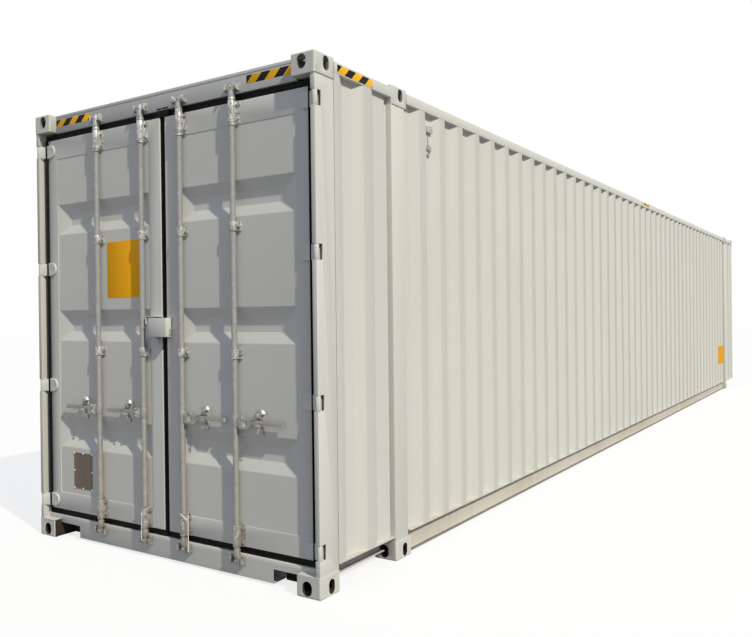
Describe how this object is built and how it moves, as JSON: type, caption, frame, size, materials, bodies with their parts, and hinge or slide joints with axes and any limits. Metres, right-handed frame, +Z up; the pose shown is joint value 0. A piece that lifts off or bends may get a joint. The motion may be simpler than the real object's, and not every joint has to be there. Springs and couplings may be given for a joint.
{
  "type": "shipping container",
  "caption": "Long high dry freight container with corrugated walls, pressed hinged doors, locking rods and hollow corner fittings.",
  "frame": {"origin": "centre of the whole container in plan, at the level that the bottom corner fittings rest on", "axes": "+Y from the door end to the front end, +X to the right for a viewer who faces the doors, +Z up"},
  "size_m": [2.438, 13.716, 2.896],
  "materials": {
    "grey_paint": "clean warm light grey paint with a faint orange peel and a little dust",
    "fitting_paint": "the same warm light grey paint over rough cast steel",
    "galvanised_steel": "pale dull zinc coat, a little brown towards the ground",
    "black_rubber": "matt black seal",
    "plywood": "varnished hardwood plywood"
  },
  "bodies": {
    "box": {"bottom_rails": "grey_paint", "cross_members": "grey_paint", "door_header": "grey_paint", "door_sill": "grey_paint", "floor_boards": "plywood", "front_header": "grey_paint", "front_posts": "grey_paint", "front_sill": "grey_paint", "front_top_fittings": "fitting_paint", "front_wall": "grey_paint", "gooseneck_tunnel": "grey_paint", "left_rear_post": "grey_paint", "left_side_wall": "grey_paint", "middle_bottom_fittings": "fitting_paint", "middle_posts": "grey_paint", "middle_top_fittings": "fitting_paint", "rear_corner_fittings": "fitting_paint", "right_rear_post": "grey_paint", "right_side_wall": "grey_paint", "rod_keepers": "galvanised_steel", "roof_panel": "grey_paint", "top_rails": "grey_paint", "ventilators": "grey_paint"},
    "right_door": {"right_door_frame": "grey_paint", "right_door_panel": "grey_paint", "right_door_gasket": "black_rubber", "right_door_hinges": "grey_paint", "right_rod_brackets": "galvanised_steel", "right_handle_catches": "galvanised_steel", "right_lock_box": "grey_paint"},
    "left_door": {"left_door_frame": "grey_paint", "left_door_panel": "grey_paint", "left_door_gasket": "black_rubber", "left_door_hinges": "grey_paint", "left_rod_brackets": "galvanised_steel", "left_handle_catches": "galvanised_steel", "left_lock_box": "grey_paint"},
    "right_inner_rod": {"right_inner_rod": "galvanised_steel", "right_inner_handle": "galvanised_steel"},
    "right_outer_rod": {"right_outer_rod": "galvanised_steel", "right_outer_handle": "galvanised_steel"},
    "left_inner_rod": {"left_inner_rod": "galvanised_steel", "left_inner_handle": "galvanised_steel"},
    "left_outer_rod": {"left_outer_rod": "galvanised_steel", "left_outer_handle": "galvanised_steel"}
  },
  "joints": [
    {"name": "right_door_hinge", "type": "hinge", "parent": "box", "child": "right_door", "pos_m": [1.202, -6.838, 1.45], "axis": [0, 0, 1], "range_deg": [0, 264]},
    {"name": "left_door_hinge", "type": "hinge", "parent": "box", "child": "left_door", "pos_m": [-1.202, -6.838, 1.45], "axis": [0, 0, -1], "range_deg": [0, 264]},
    {"name": "right_inner_rod_turn", "type": "hinge", "parent": "right_door", "child": "right_inner_rod", "pos_m": [0.172, -6.8283, 1.45], "axis": [0, 0, 1], "range_deg": [-100, 0]},
    {"name": "right_outer_rod_turn", "type": "hinge", "parent": "right_door", "child": "right_outer_rod", "pos_m": [0.602, -6.8283, 1.45], "axis": [0, 0, 1], "range_deg": [-100, 0]},
    {"name": "left_inner_rod_turn", "type": "hinge", "parent": "left_door", "child": "left_inner_rod", "pos_m": [-0.172, -6.8283, 1.45], "axis": [0, 0, -1], "range_deg": [-100, 0]},
    {"name": "left_outer_rod_turn", "type": "hinge", "parent": "left_door", "child": "left_outer_rod", "pos_m": [-0.602, -6.8283, 1.45], "axis": [0, 0, -1], "range_deg": [-100, 0]}
  ]
}
